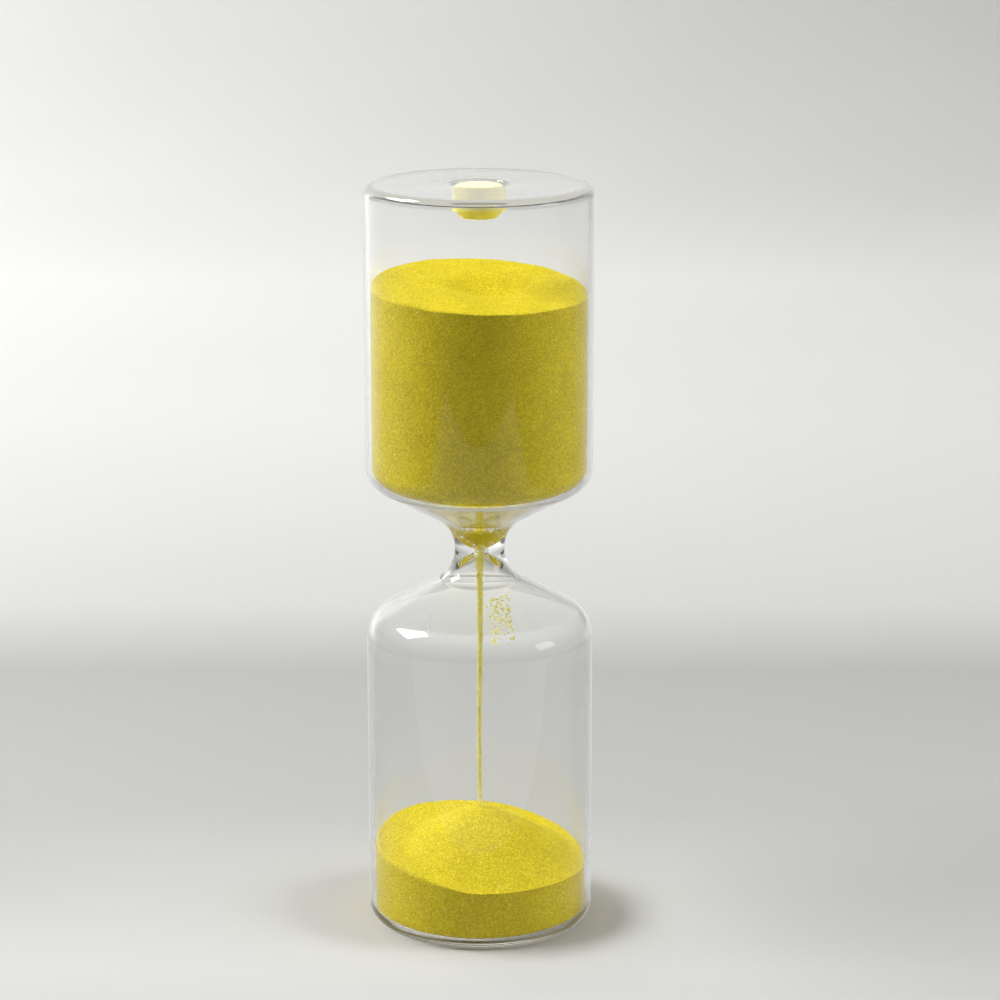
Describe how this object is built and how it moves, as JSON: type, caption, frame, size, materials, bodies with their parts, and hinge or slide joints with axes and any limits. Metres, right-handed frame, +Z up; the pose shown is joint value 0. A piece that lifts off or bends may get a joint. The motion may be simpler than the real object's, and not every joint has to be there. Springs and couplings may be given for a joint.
{
  "type": "hourglass",
  "caption": "Free-standing cylinder hourglass: a blown glass vessel with a thick neck, coloured sand in both bulbs and a rubber plug in the fill hole on top.",
  "frame": {"origin": "centre of the flat base, on the surface that the hourglass stands on", "axes": "+Z up along the vessel's axis, from the filled base to the plugged top; +X to the right of the plain front view; the vessel is round, so X and Y are only told apart by the tilt of the sand"},
  "size_m": [0.06, 0.06, 0.2],
  "materials": {
    "clear_glass": "clear and polished, with slight blown ripples",
    "yellow_rubber": "smooth satin",
    "yellow_sand": "fine dry grains with a few bright specks"
  },
  "bodies": {
    "vessel": {"glass_vessel": "clear_glass", "upper_sand": "yellow_sand", "sand_stream": "yellow_sand", "lower_sand": "yellow_sand"},
    "stopper": {"fill_stopper": "yellow_rubber"}
  },
  "joints": [
    {"name": "stopper_lift", "type": "slide", "parent": "vessel", "child": "stopper", "axis": [0, 0, 1], "range_m": [0, 0.025]}
  ]
}
